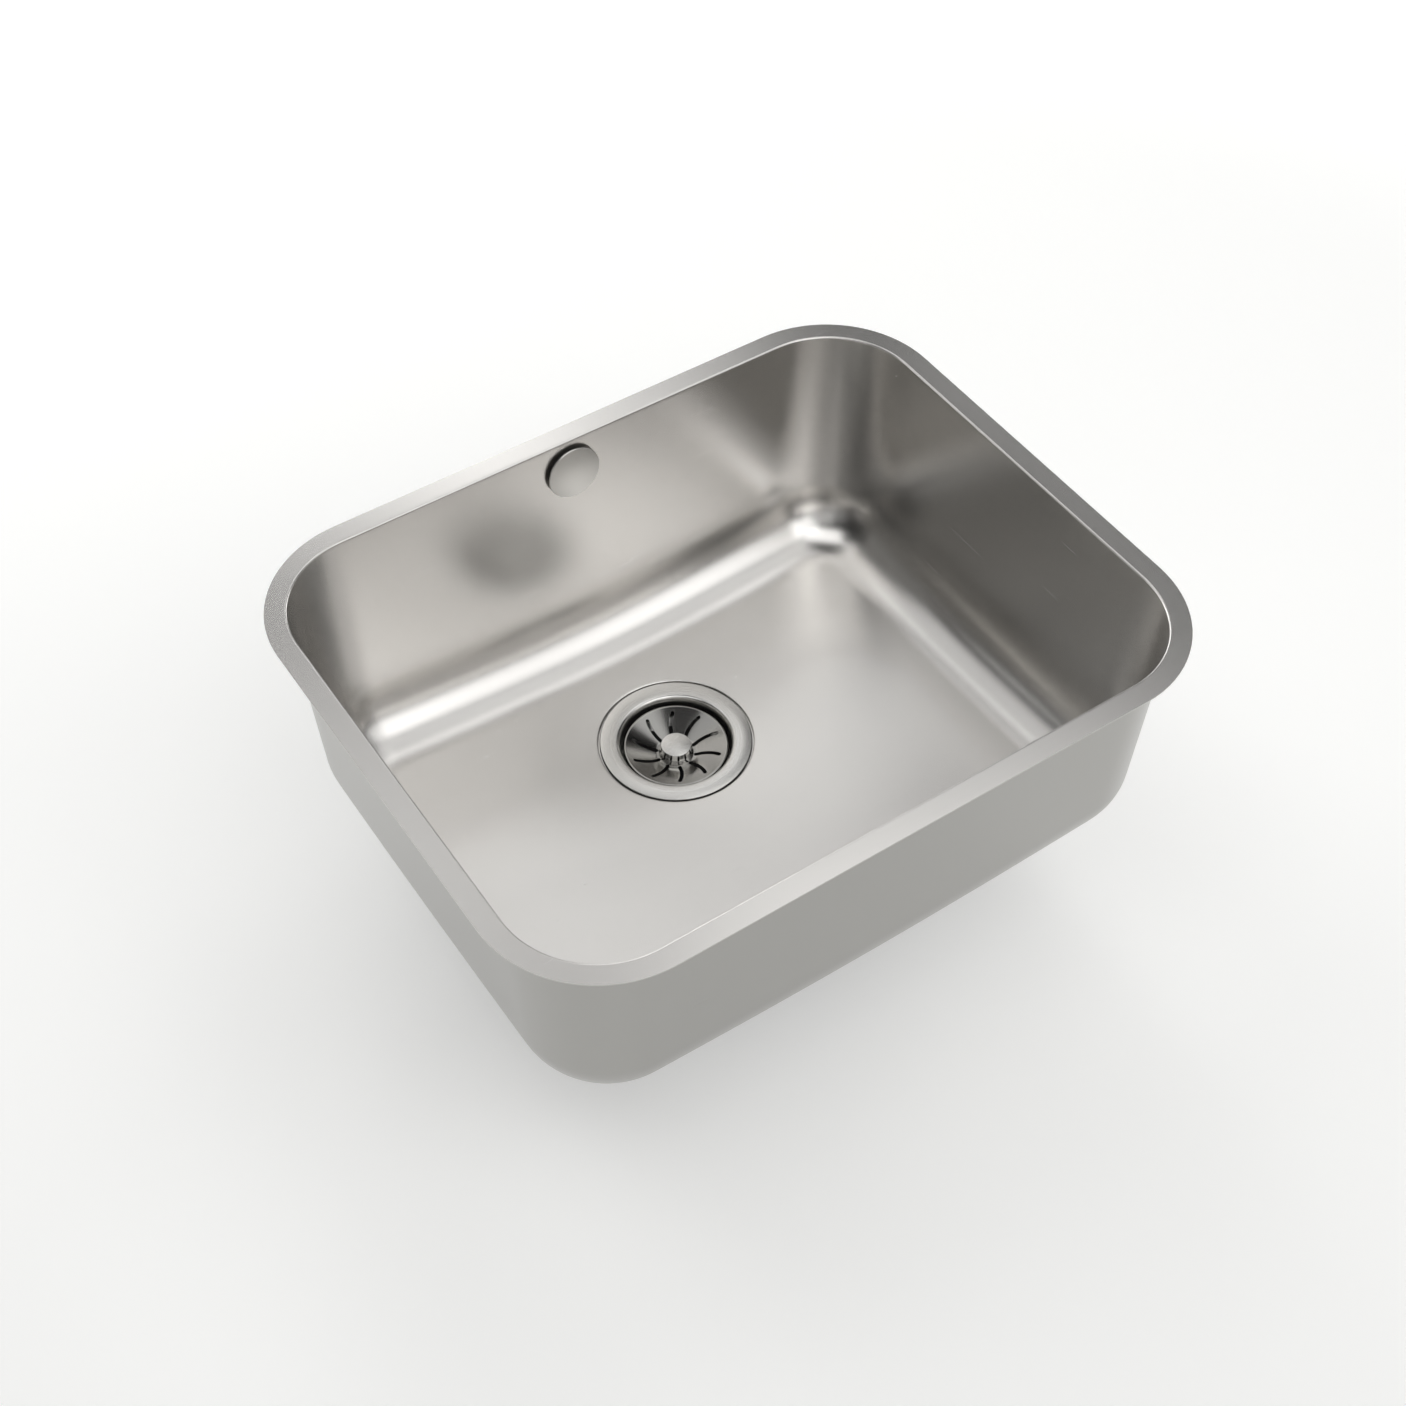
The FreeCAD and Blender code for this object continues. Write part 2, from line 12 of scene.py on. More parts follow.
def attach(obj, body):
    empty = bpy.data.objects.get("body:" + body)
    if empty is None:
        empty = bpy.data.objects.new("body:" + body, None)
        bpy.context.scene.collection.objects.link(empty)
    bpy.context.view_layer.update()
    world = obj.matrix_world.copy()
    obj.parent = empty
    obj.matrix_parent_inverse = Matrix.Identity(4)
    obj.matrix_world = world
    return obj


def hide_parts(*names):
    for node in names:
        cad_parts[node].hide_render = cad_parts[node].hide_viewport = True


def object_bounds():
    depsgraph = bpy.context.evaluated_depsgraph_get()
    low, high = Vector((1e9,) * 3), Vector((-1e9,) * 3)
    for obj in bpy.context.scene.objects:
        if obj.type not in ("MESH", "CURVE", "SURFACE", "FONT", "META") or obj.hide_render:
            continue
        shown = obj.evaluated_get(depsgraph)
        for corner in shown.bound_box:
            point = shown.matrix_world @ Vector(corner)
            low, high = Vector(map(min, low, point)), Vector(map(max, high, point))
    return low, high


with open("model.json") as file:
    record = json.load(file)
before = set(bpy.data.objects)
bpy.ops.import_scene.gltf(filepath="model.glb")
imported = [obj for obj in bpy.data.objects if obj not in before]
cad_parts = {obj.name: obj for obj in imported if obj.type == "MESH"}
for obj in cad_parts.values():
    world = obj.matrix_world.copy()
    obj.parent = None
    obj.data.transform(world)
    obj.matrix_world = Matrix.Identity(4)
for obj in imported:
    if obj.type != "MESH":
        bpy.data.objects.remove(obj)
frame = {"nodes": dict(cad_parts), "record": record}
cad_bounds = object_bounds()

bl_info = {
    "name": "Undermount kitchen sink",
    "version": (1, 0, 0),
    "blender": (4, 5, 0),
    "location": "3D View > Sidebar > Sink",
    "description": "Builds an undermount sink bowl with its strainer, overflow and waste fitting",
    "category": "Add Mesh",
}

UP = Vector((0, 0, 1))
SPIN_STEPS = 128  # faces round a turned piece
ROUND_STEPS = 4  # faces across a rounded edge
ON_AXIS = 1e-7  # a point nearer to the axis than this lies on it
SAME_PLACE = 1e-6  # points nearer than this are merged


# Sizes and colours that a user would change


def rgb(code):
    """Linear colour of an sRGB hex code."""
    shares = [int(code[start:start + 2], 16) / 255 for start in (1, 3, 5)]
    return [s / 12.92 if s <= 0.04045 else ((s + 0.055) / 1.055) ** 2.4 for s in shares]


def length(name, description, default):
    """Property for a length in metres."""
    return FloatProperty(name=name, description=description, default=default, min=0.0,
                         precision=4, unit="LENGTH", subtype="DISTANCE")


def angle(name, description, default):
    """Property for an angle, with its default in degrees."""
    return FloatProperty(name=name, description=description, default=math.radians(default),
                         unit="ROTATION", subtype="ANGLE")


def colour(name, description, default):
    """Property for a colour, with its default as an sRGB hex code."""
    return FloatVectorProperty(name=name, description=description, default=rgb(default),
                               size=3, min=0.0, max=1.0, subtype="COLOR")


class SinkBowlSizes(bpy.types.PropertyGroup):
    opening_length: length("Opening length", "Long side of the bowl at the rim", 0.5)
    opening_width: length("Opening width", "Short side of the bowl at the rim", 0.4)
    rim_width: length("Rim width", "Flat rim round the opening", 0.016)
    rim_corner: length("Rim corner", "Outside corner radius of the rim", 0.086)
    edge_bend: length("Edge bend", "Bend between rim and wall", 0.0015)
    corner_top: length("Corner at the rim", "Inside corner radius under the rim", 0.0678)
    corner_base: length("Corner at the base", "Inside corner radius at full depth", 0.0608)
    wall_draft: angle("Wall draft", "Lean of the walls", 2.75)
    base_bend: length("Base bend", "Bend between walls and floor", 0.049)
    depth: length("Depth", "From the rim to the strainer", 0.2)
    floor_slope: angle("Floor slope", "Fall of the floor to the drain", 4.6)
    sheet: length("Sheet", "Thickness of the pressed sheet", 0.001)
    recess_radius: length("Recess", "Radius of the recess for the strainer ring", 0.0586)
    recess_depth: length("Recess depth", "Drop of the recess below the floor", 0.002)
    drain_hole: length("Drain hole", "Radius of the hole in the recess", 0.045)
    drain_offset: length("Drain offset", "Drain centre behind the bowl's middle", 0.0645)


class SinkStrainerSizes(bpy.types.PropertyGroup):
    ring_radius: length("Ring", "Radius of the ring in the floor", 0.0571)
    ring_sheet: length("Ring sheet", "Thickness of the ring and cup", 0.001)
    ring_roll: length("Ring roll", "Round between the ring and the cup", 0.003)
    cup_radius: length("Cup", "Inside radius of the cup", 0.0422)
    basket_radius: length("Basket", "Radius of the basket's rim", 0.0394)
    basket_depth: length("Basket rim depth", "Basket rim below the ring", 0.0062)
    dish_depth: length("Dish depth", "Basket floor below the ring", 0.015)
    knob_radius: length("Knob", "Radius of the knob", 0.0114)
    knob_depth: length("Knob depth", "Knob's top below the ring", 0.0055)
    slot_count: IntProperty(name="Slots", description="Curved slots in the basket",
                            default=10, min=1)
    slot_width: length("Slot width", "Width of each slot", 0.0029)


class SinkOverflowSizes(bpy.types.PropertyGroup):
    below_rim: length("Below the rim", "Overflow's centre below the rim", 0.028)
    hole_radius: length("Hole", "Radius of the hole in the back wall", 0.0145)
    cover_radius: length("Cover", "Radius of the round cover", 0.021)
    cover_height: length("Cover height", "Cover's face off the wall", 0.004)
    hose_radius: length("Hose", "Outside radius of the hose", 0.01)
    hose_pitch: length("Hose pitch", "Length of one corrugation", 0.0036)


class SinkFinishes(bpy.types.PropertyGroup):
    steel: colour("Steel", "Stainless steel of the bowl", "#D5D3D0")
    # Painted shade: the bowl's outside is the same steel, given a darker colour for the dim
    # surroundings it mirrors
    painted_shade_outside_steel: colour("Painted shade outside", "Outside of the bowl, darkened as painted shade", "#A9A8A5")
    # Painted shade: the basket's steel is darker than polished steel, for the dim drain it sits in
    dish_steel: colour("Dish steel", "Polished strainer basket", "#A09F9C")
    bright_steel: colour("Bright steel", "Turned and polished stainless steel", "#CECDCA")
    black_plastic: colour("Black plastic", "Moulded waste body, nuts and elbow", "#3A3A3C")
    hose: colour("Hose", "Corrugated overflow hose", "#B9BBBC")
    rubber: colour("Rubber", "Seals and stopper", "#2A2A2A")
    pad: colour("Pad", "Sound-deadening pad", "#6C6D6F")
    floor: colour("Floor", "Studio floor", "#F6F6F4")


# Shared steps of modelling


def turned(outline, steps=SPIN_STEPS):
    """Closed body of revolution about Z; each corner is radius, height and rounding."""
    bm = bmesh.new()
    corners = [bm.verts.new((radius, 0, height)) for radius, height, _ in outline]
    bm.faces.new(corners)
    for corner, (_, _, rounding) in zip(corners, outline):
        if rounding:
            before, after = [edge.other_vert(corner).co - corner.co for edge in corner.link_edges]
            reach = rounding / math.tan(before.angle(after) / 2)
            bmesh.ops.bevel(bm, geom=[corner], offset=reach, segments=ROUND_STEPS, profile=0.5,
                            affect="VERTICES", material=-1)
    bmesh.ops.delete(bm, geom=bm.faces[:], context="FACES_ONLY")
    on_axis = [edge for edge in bm.edges if max(abs(v.co.x) for v in edge.verts) < ON_AXIS]
    bmesh.ops.delete(bm, geom=on_axis, context="EDGES")
    bmesh.ops.spin(bm, geom=bm.verts[:] + bm.edges[:], cent=(0, 0, 0), axis=UP,
                   dvec=(0, 0, 0), angle=math.tau, steps=steps, use_merge=True)
    return closed(bm)


def raise_faces(bm, bottom, top):
    """Makes upright blocks of flat faces, between two heights above where they lie."""
    bmesh.ops.translate(bm, vec=(0, 0, bottom), verts=bm.verts[:])
    raised = bmesh.ops.extrude_face_region(bm, geom=bm.faces[:])["geom"]
    tops = [part for part in raised if isinstance(part, bmesh.types.BMVert)]
    bmesh.ops.translate(bm, vec=(0, 0, top - bottom), verts=tops)


def closed(bm):
    """Merges doubles and turns all faces outwards."""
    bmesh.ops.remove_doubles(bm, verts=bm.verts[:], dist=SAME_PLACE)
    bmesh.ops.recalc_face_normals(bm, faces=bm.faces[:])
    return bm


def as_object(bm, name):
    """Object with the mesh of a bmesh, which is freed."""
    mesh = bpy.data.meshes.new(name)
    bm.to_mesh(mesh)
    bm.free()
    piece = bpy.data.objects.new(name, mesh)
    bpy.context.scene.collection.objects.link(piece)
    return piece


def cut(piece, cutter):
    """Cuts the cutter out of the piece and deletes it."""
    step = piece.modifiers.new("cut", "BOOLEAN")
    step.operation = "DIFFERENCE"
    step.solver = "EXACT"
    step.object = cutter
    settle(piece)
    bpy.data.objects.remove(cutter)


def settle(piece):
    """Applies the modifiers."""
    ready = piece.evaluated_get(bpy.context.evaluated_depsgraph_get())
    mesh = bpy.data.meshes.new_from_object(ready)
    piece.modifiers.clear()
    piece.data = mesh


def smooth(piece, crease=30.0):
    """Smooth shading, with edges sharper than the crease in degrees kept."""
    piece.data.shade_smooth()
    piece.data.set_sharp_from_angle(angle=math.radians(crease))


def fit(piece, body, material, node):
    """Gives a finished piece its material, and its place in the sink for a CAD node."""
    piece.data.materials.clear()
    piece.data.materials.append(material)
    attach(piece, body)
    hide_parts(node)


def drain_place():
    """Moves a piece drawn about the strainer ring's top face to the drain."""
    bowl = bpy.context.scene.sink_bowl
    return Matrix.Translation((0, bowl.drain_offset, -bowl.depth))


def overflow_place():
    """Turns Z out of the back wall into the bowl, about the overflow's centre."""
    scene = bpy.context.scene
    bowl, overflow = scene.sink_bowl, scene.sink_overflow
    back = bowl.opening_width / 2 - overflow.below_rim * math.tan(bowl.wall_draft)
    turn = Matrix.Rotation(math.radians(90) - bowl.wall_draft, 4, "X")
    return Matrix.Translation((0, back, -overflow.below_rim)) @ turn


# Bowl


def rim_outline(bm, bowl, corner_steps=20, long_cuts=62, short_cuts=46):
    """Loop of edges round the opening, dense at the corners and even on the sides."""
    half = Vector((bowl.opening_length, bowl.opening_width, 0)) / 2
    bmesh.ops.create_grid(bm, x_segments=1, y_segments=1, size=1)
    bmesh.ops.scale(bm, vec=(half.x, half.y, 1), verts=bm.verts[:])
    bmesh.ops.bevel(bm, geom=bm.verts[:], offset=bowl.corner_top, segments=corner_steps,
                    profile=0.5, affect="VERTICES", material=-1)
    bmesh.ops.delete(bm, geom=bm.faces[:], context="FACES_ONLY")
    sides = sorted(bm.edges, key=lambda edge: -edge.calc_length())[:4]
    bmesh.ops.subdivide_edges(bm, edges=sides[:2], cuts=long_cuts)
    bmesh.ops.subdivide_edges(bm, edges=sides[2:], cuts=short_cuts)


def stations(bm, bowl):
    """Each point of the outline as its share of the straight sides and its way outwards."""
    core = (bowl.opening_length / 2 - bowl.corner_top, bowl.opening_width / 2 - bowl.corner_top)
    found = []
    for vert in bm.verts:
        share = [min(1, max(-1, vert.co[axis] / core[axis])) for axis in (0, 1)]
        way = Vector((vert.co.x - share[0] * core[0], vert.co.y - share[1] * core[1], 0))
        found.append((share, way.normalized()))
    return found


def wall_point(bowl, station, z):
    """Point of the drafted wall's inside face at a height."""
    share, way = station
    inset = z * math.tan(bowl.wall_draft)
    corner = bowl.corner_top + (bowl.corner_top - bowl.corner_base) * z / bowl.depth
    x = share[0] * (bowl.opening_length / 2 + inset - corner)
    y = share[1] * (bowl.opening_width / 2 + inset - corner)
    return Vector((x, y, z)) + way * corner


def rolled(centre, start, end, steps):
    """Points of a round arc about the centre from one spoke to the other."""
    turn = start.angle(end)
    axis = start.cross(end)
    return [centre + Matrix.Rotation(turn * step / steps, 3, axis) @ start
            for step in range(steps + 1)]


def wall_lean(bowl, station):
    """Slope of the wall at a place: how far it comes inwards for each metre down."""
    return (wall_point(bowl, station, 0) - wall_point(bowl, station, -1)).dot(station[1])


def base_arc(bowl, station, drain, halvings=48):
    """Ball rolled between wall and floor: its contact on the wall, its centre, its floor spoke."""
    way = station[1]
    out = (way - UP * wall_lean(bowl, station)).normalized()
    cosine, sine = math.cos(bowl.floor_slope), math.sin(bowl.floor_slope)
    low, high = -bowl.depth, -bowl.base_bend / 2
    for _ in range(halvings):
        contact = wall_point(bowl, station, (low + high) / 2)
        centre = contact - out * bowl.base_bend
        radius = math.hypot(centre.x, centre.y - drain.y)
        rest = drain.z + (radius - bowl.recess_radius) * sine / cosine + bowl.base_bend / cosine
        if centre.z > rest:
            high = contact.z
        else:
            low = contact.z
    outwards = Vector((centre.x, centre.y - drain.y, 0)).normalized()
    return contact, centre, (outwards * sine - UP * cosine) * bowl.base_bend


def bowl_line(bowl, station, wall_steps=10, bend_steps=28, floor_steps=16, edge_steps=6,
              recess_steps=5, ease=0.0015):
    """Points from the rim's cut edge down one place of the bowl to the drain hole.

    The ease is how near to a bend its neighbouring rings lie, in metres.
    """
    share, way = station
    drain = Vector((0, bowl.drain_offset, -bowl.depth))
    # Flat rim and the small bend at its inner edge
    rim = bowl.rim_width - bowl.rim_corner
    cut_edge = Vector((share[0] * (bowl.opening_length / 2 + rim),
                       share[1] * (bowl.opening_width / 2 + rim), 0)) + way * bowl.rim_corner
    lip = wall_point(bowl, station, 0)
    lean = math.atan(wall_lean(bowl, station))
    reach = bowl.edge_bend * math.tan(math.pi / 4 - lean / 2)
    centre = lip + way * reach - UP * bowl.edge_bend
    inwards = -way * math.cos(lean) + UP * math.sin(lean)
    # Rings close to the cut edge, in the rim's middle and just before the bend
    points = [cut_edge, cut_edge.lerp(lip, 0.04), cut_edge.lerp(lip, 0.5), lip + way * reach * 1.25]
    points += rolled(centre, UP * bowl.edge_bend, inwards * bowl.edge_bend, edge_steps)
    # Wall, with even rings across the height of the overflow hole
    contact, middle, spoke = base_arc(bowl, station, drain)
    levels = [-0.003, -0.008, -0.018, -0.028, -0.038, -0.048]
    last = levels[-1]
    levels += [last + (contact.z - last) * step / wall_steps for step in range(1, wall_steps)]
    levels += [contact.z + ease]
    points += [wall_point(bowl, station, z) for z in levels]
    # Large bend and the floor's fall
    points += rolled(middle, contact - middle, spoke, bend_steps)
    foot = points[-1]
    outwards = Vector((foot.x, foot.y - drain.y, 0)).normalized()
    edge_round = bowl.recess_depth / 2
    start = drain + outwards * (bowl.recess_radius + edge_round)
    start.z += math.tan(bowl.floor_slope) * edge_round
    near = ease / (foot - start).length
    points += [foot.lerp(start, near + (1 - 2 * near) * step / floor_steps)
               for step in range(floor_steps + 1)]
    # Recess for the strainer ring
    hub = drain + outwards * (bowl.recess_radius + edge_round) - UP * edge_round
    points += rolled(hub, start - hub, -outwards * edge_round, recess_steps)
    points += [drain + outwards * bowl.recess_radius - UP * bowl.recess_depth,
               drain + outwards * bowl.drain_hole - UP * bowl.recess_depth]
    return points


def cut_overflow_hole(bm, overflow, place, patch_reach=0.0206, border_reach=(0.03, 0.022),
                      off_wall=1e-4):
    """Replaces a patch of the back wall by one with a round hole.

    The reaches are how far the patch and its border go from the hole's centre, and off_wall is
    how far a face of the patch may lie off the wall's plane, in metres.
    """
    inverse = place.inverted()
    patch = []
    for face in bm.faces:
        local = inverse @ face.calc_center_median()
        if abs(local.z) < off_wall and max(abs(local.x), abs(local.y)) < patch_reach:
            patch.append(face)
    bmesh.ops.delete(bm, geom=patch, context="FACES")
    wide, high = border_reach
    border = [edge for edge in bm.edges if edge.is_boundary
              and all(abs((inverse @ v.co).x) < wide and abs((inverse @ v.co).y) < high
                      and v.co.y > 0 for v in edge.verts)]
    hole = bmesh.ops.create_circle(bm, segments=SPIN_STEPS // 2, radius=overflow.hole_radius,
                                   matrix=place)
    ring = {edge for vert in hole["verts"] for edge in vert.link_edges}
    bmesh.ops.triangle_fill(bm, edges=border + list(ring), use_beauty=True)


class SINK_OT_bowl(bpy.types.Operator):
    """Pressed bowl with its flat rim, sloping floor, strainer recess and overflow hole"""

    bl_idname = "sink.bowl"
    bl_label = "Bowl"

    def execute(self, context):
        bowl = context.scene.sink_bowl
        bm = bmesh.new()
        rim_outline(bm, bowl)
        order = bm.verts.layers.int.new("station")
        for number, vert in enumerate(bm.verts):
            vert[order] = number
        lines = [bowl_line(bowl, station) for station in stations(bm, bowl)]
        loop = bm.edges[:]
        for vert in bm.verts:
            vert.co = lines[vert[order]][0]
        for level in range(1, len(lines[0])):
            new = bmesh.ops.extrude_edge_only(bm, edges=loop)["geom"]
            loop = [part for part in new if isinstance(part, bmesh.types.BMEdge)]
            for vert in new:
                if isinstance(vert, bmesh.types.BMVert):
                    vert.co = lines[vert[order]][level]
        cut_overflow_hole(bm, context.scene.sink_overflow, overflow_place())
        closed(bm)
        bm.faces.ensure_lookup_table()
        if max(bm.faces, key=lambda face: face.calc_center_median().z).normal.z < 0:
            bmesh.ops.reverse_faces(bm, faces=bm.faces[:])
        piece = as_object(bm, "sink_bowl")
        thickness = piece.modifiers.new("sheet", "SOLIDIFY")
        thickness.thickness = bowl.sheet
        thickness.offset = -1
        thickness.use_even_offset = True
        settle(piece)
        smooth(piece)
        fit(piece, "sink", satin_sheet(), "bowl")
        return {"FINISHED"}


# Strainer


class SINK_OT_strainer_ring(bpy.types.Operator):
    """Ring in the bowl's recess, turned down into a cup with a windowed floor"""

    bl_idname = "sink.strainer_ring"
    bl_label = "Strainer ring"

    def execute(self, context):
        sizes = context.scene.sink_strainer
        inner, outer, sheet = sizes.cup_radius, sizes.ring_radius, sizes.ring_sheet
        throat, screw_hole = 0.030, 0.0067  # radii
        cone, seat, floor = -0.022, -0.031, -0.036  # heights below the ring
        bm = turned([
            (outer, 0, 0.0004), (inner, 0, sizes.ring_roll), (inner, cone, 0.003),
            (throat, seat, 0.002), (throat, floor, 0.0005), (screw_hole, floor, 0),
            (screw_hole, floor - sheet, 0), (throat + sheet, floor - sheet, 0.0007),
            (throat + sheet, seat - sheet / 2, 0), (inner + sheet, cone - sheet / 2, 0),
            (inner + sheet, -sheet, sizes.ring_roll - sheet), (outer, -sheet, 0.0002)])
        piece = as_object(bm, "strainer_ring")
        cut(piece, self.windows())
        piece.data.transform(drain_place())
        smooth(piece)
        fit(piece, "sink", turned_ring(), "strainer_flange")
        return {"FINISHED"}

    def windows(self, count=6):
        """Cutter for the openings between the spokes of the cup's floor."""
        reach, across, middle = 0.0145, 0.0105, 0.02025  # of each window, out from the axis
        inner_share, outer_share = 0.42, 1.65  # of its width, so that the spokes stay even
        below, through, corner_round = -0.038, 0.004, 0.002
        bm = bmesh.new()
        for index in range(count):
            bar = bmesh.ops.create_grid(bm, x_segments=1, y_segments=1, size=0.5)["verts"]
            bmesh.ops.scale(bm, vec=(reach, across, 1), verts=bar)
            bmesh.ops.translate(bm, vec=(middle, 0, below), verts=bar)
            for vert in bar:
                vert.co.y *= inner_share if vert.co.x < middle else outer_share
            bmesh.ops.rotate(bm, cent=(0, 0, 0), verts=bar,
                             matrix=Matrix.Rotation(math.tau * (index + 0.5) / count, 3, "Z"))
        bmesh.ops.bevel(bm, geom=bm.verts[:], offset=corner_round, segments=ROUND_STEPS,
                        profile=0.5, affect="VERTICES", material=-1)
        raise_faces(bm, 0, through)
        return as_object(closed(bm), "windows")


# A slot's inner end, middle and outer end: radius in metres and turn about the drain in degrees
SLOT_LINE = ((0.0149, -5), (0.024, -5), (0.0332, -10.5))


def slot_cutter(sizes, arc_steps=14, end_steps=5, depth=0.03):
    """Cutter for the curved slots with their round ends."""
    start, middle, end = [Matrix.Rotation(math.radians(turn), 3, "Z") @ Vector((radius, 0, 0))
                          for radius, turn in SLOT_LINE]
    # Centre of the circle through the three points
    first, second = start - middle, end - middle
    normal = first.cross(second)
    centre = middle + (first.length_squared * second.cross(normal)
                       + second.length_squared * normal.cross(first)) / (2 * normal.length_squared)
    arm = start - centre
    tip = sizes.slot_width / 2 / arm.length
    sweep = arm.angle(end - centre) + 2 * tip
    sense = math.copysign(1, arm.cross(end - centre).z)
    bm = bmesh.new()
    near, far = [bm.verts.new(centre + arm * (1 + side * sizes.slot_width / 2 / arm.length))
                 for side in (-1, 1)]
    across = bm.edges.new((near, far))
    bmesh.ops.rotate(bm, cent=centre, verts=[near, far],
                     matrix=Matrix.Rotation(-sense * tip, 3, "Z"))
    bmesh.ops.spin(bm, geom=[near, far, across], cent=centre, axis=UP, dvec=(0, 0, 0),
                   angle=sense * sweep, steps=arc_steps)
    corners = [vert for vert in bm.verts if len(vert.link_edges) == 2]
    # Just under half the width, so that the two roundings of an end don't meet
    bmesh.ops.bevel(bm, geom=corners, offset=sizes.slot_width * 0.49, segments=end_steps,
                    profile=0.5, affect="VERTICES", material=-1)
    raise_faces(bm, -depth, 0)
    whole = bm.verts[:] + bm.edges[:] + bm.faces[:]
    bmesh.ops.spin(bm, geom=whole, cent=(0, 0, 0), axis=UP, dvec=(0, 0, 0), angle=math.tau,
                   steps=sizes.slot_count, use_duplicate=True, use_merge=True)
    return as_object(closed(bm), "slots")


class SINK_OT_basket(bpy.types.Operator):
    """Dished basket with curved slots, and the turned knob in its middle"""

    bl_idname = "sink.basket"
    bl_label = "Basket and knob"

    def execute(self, context):
        sizes = context.scene.sink_strainer
        sheet, rim = 0.0008, sizes.basket_radius
        stem_hole, flat, lip, skirt = 0.0032, 0.0155, rim - 0.0015, rim - sheet  # radii
        floor, top = -sizes.dish_depth, -sizes.basket_depth  # heights below the ring
        hem, floor_bend = top - 0.005, 0.005
        bm = turned([
            (stem_hole, floor, 0), (flat, floor, floor_bend), (lip, top, 0.0012),
            (rim, top, 0.0006), (rim, hem, 0.0002), (skirt, hem, 0.0002),
            (skirt, top - sheet, 0), (lip, top - sheet, 0),
            (flat, floor - sheet, floor_bend), (stem_hole, floor - sheet, 0)])
        basket = as_object(bm, "strainer_basket")
        cut(basket, slot_cutter(sizes))
        basket.data.transform(drain_place())
        smooth(basket)
        fit(basket, "basket", polished_dish(), "basket")

        knob, face = sizes.knob_radius, -sizes.knob_depth
        foot, foot_height, foot_edge = knob + 0.0018, 0.0032, 0.0004
        socket, socket_top = 0.003, -0.0105  # where the stem goes in
        bm = turned([
            (0, face, 0), (knob, face, 0.0004), (knob, floor + foot_height, 0.0015),
            (foot, floor + foot_edge, 0.0003), (foot, floor, 0),
            (socket, floor, 0), (socket, socket_top, 0), (0, socket_top, 0)])
        piece = as_object(bm, "strainer_knob")
        piece.data.transform(drain_place())
        smooth(piece)
        fit(piece, "basket", turned_knob(), "basket_knob")
        return {"FINISHED"}


# Overflow


class SINK_OT_overflow_cover(bpy.types.Operator):
    """Round cover on the back wall, with the stub that pushes into its plate"""

    bl_idname = "sink.overflow_cover"
    bl_label = "Overflow cover"

    def execute(self, context):
        sizes = context.scene.sink_overflow
        face, radius = sizes.cover_height, sizes.cover_radius
        back = face - 0.0012  # the disc's thickness
        stub, stub_end = 0.00465, -0.0034
        bm = turned([
            (0, face, 0), (radius, face, 0.0006), (radius, back, 0.0002), (stub, back, 0),
            (stub, stub_end, 0.0004), (0, stub_end, 0)])
        piece = as_object(bm, "overflow_cover")
        piece.data.transform(overflow_place())
        smooth(piece)
        fit(piece, "overflow_cap", brushed_cover(), "overflow_cap")
        return {"FINISHED"}


def laid(bm, start, corner, end, bend):
    """Bends a straight tube, drawn from the origin up the Z axis, along its route."""
    down, away = (corner - start).normalized(), (end - corner).normalized()
    turn = down.angle(away)
    side = down.cross(away).normalized()
    inwards = side.cross(down)
    straight = (corner - start).length - bend * math.tan(turn / 2)
    hub = start + down * straight + inwards * bend
    for vert in bm.verts:
        beyond = vert.co.z - straight
        rim = start + down * min(vert.co.z, straight) + side * vert.co.x + inwards * vert.co.y
        swing = min(turn, max(0, beyond / bend))
        further = away * max(0, beyond - bend * turn)
        vert.co = hub + Matrix.Rotation(swing, 3, side) @ (rim - hub) + further
    return bm


class SINK_OT_overflow_hose(bpy.types.Operator):
    """Corrugated hose from the overflow's elbow to the branch of the waste body"""

    bl_idname = "sink.overflow_hose"
    bl_label = "Overflow hose"

    def execute(self, context):
        elbow_socket, branch_socket = Vector((0, -0.026, -0.018)), Vector((0, 0.066, -0.028))
        cuff_length = 0.018
        place = overflow_place()
        start = place @ elbow_socket
        down = place.to_3x3() @ Vector((0, -1, 0))
        end = drain_place() @ branch_socket
        corner = start + down * ((end.z - start.z) / down.z)
        # The bend ends where the cuff at the branch starts
        half = (start - corner).angle(end - corner) / 2
        bend = ((corner - end).length - cuff_length) * math.tan(half)
        turn = math.pi - 2 * half
        reach = bend / math.tan(half)
        whole = (corner - start).length + (end - corner).length - 2 * reach + bend * turn
        bm = turned(self.profile(context.scene.sink_overflow, whole, cuff_length), steps=40)
        piece = as_object(laid(bm, start, corner, end, bend), "overflow_hose_corrugated")
        smooth(piece, 60)
        fit(piece, "sink", hose_plastic(), "overflow_hose")
        return {"FINISHED"}

    def profile(self, sizes, whole, cuff_length, cuff=0.0105, wall=0.0008, depth=0.0014):
        """Corners of the hose's section: two plain cuffs with corrugations between them."""
        count = round((whole - 2 * cuff_length) / sizes.hose_pitch)
        pitch = (whole - 2 * cuff_length) / count
        outside, inside = [(cuff, 0, 0.0003), (cuff, cuff_length, 0.0003)], []
        crest, groove = sizes.hose_radius, sizes.hose_radius - depth
        for index in range(count):
            foot = cuff_length + index * pitch
            for radius, share in ((groove, 0.1), (groove, 0.4), (crest, 0.6), (crest, 0.9)):
                outside.append((radius, foot + share * pitch, pitch * 0.08))
                inside.append((radius - wall, foot + share * pitch, 0))
        outside += [(cuff, whole - cuff_length, 0.0003), (cuff, whole, 0.0003)]
        bore = groove - wall
        return outside + [(bore, whole, 0)] + inside[::-1] + [(bore, 0, 0)]


# Waste fitting and the other pieces that keep their CAD shape


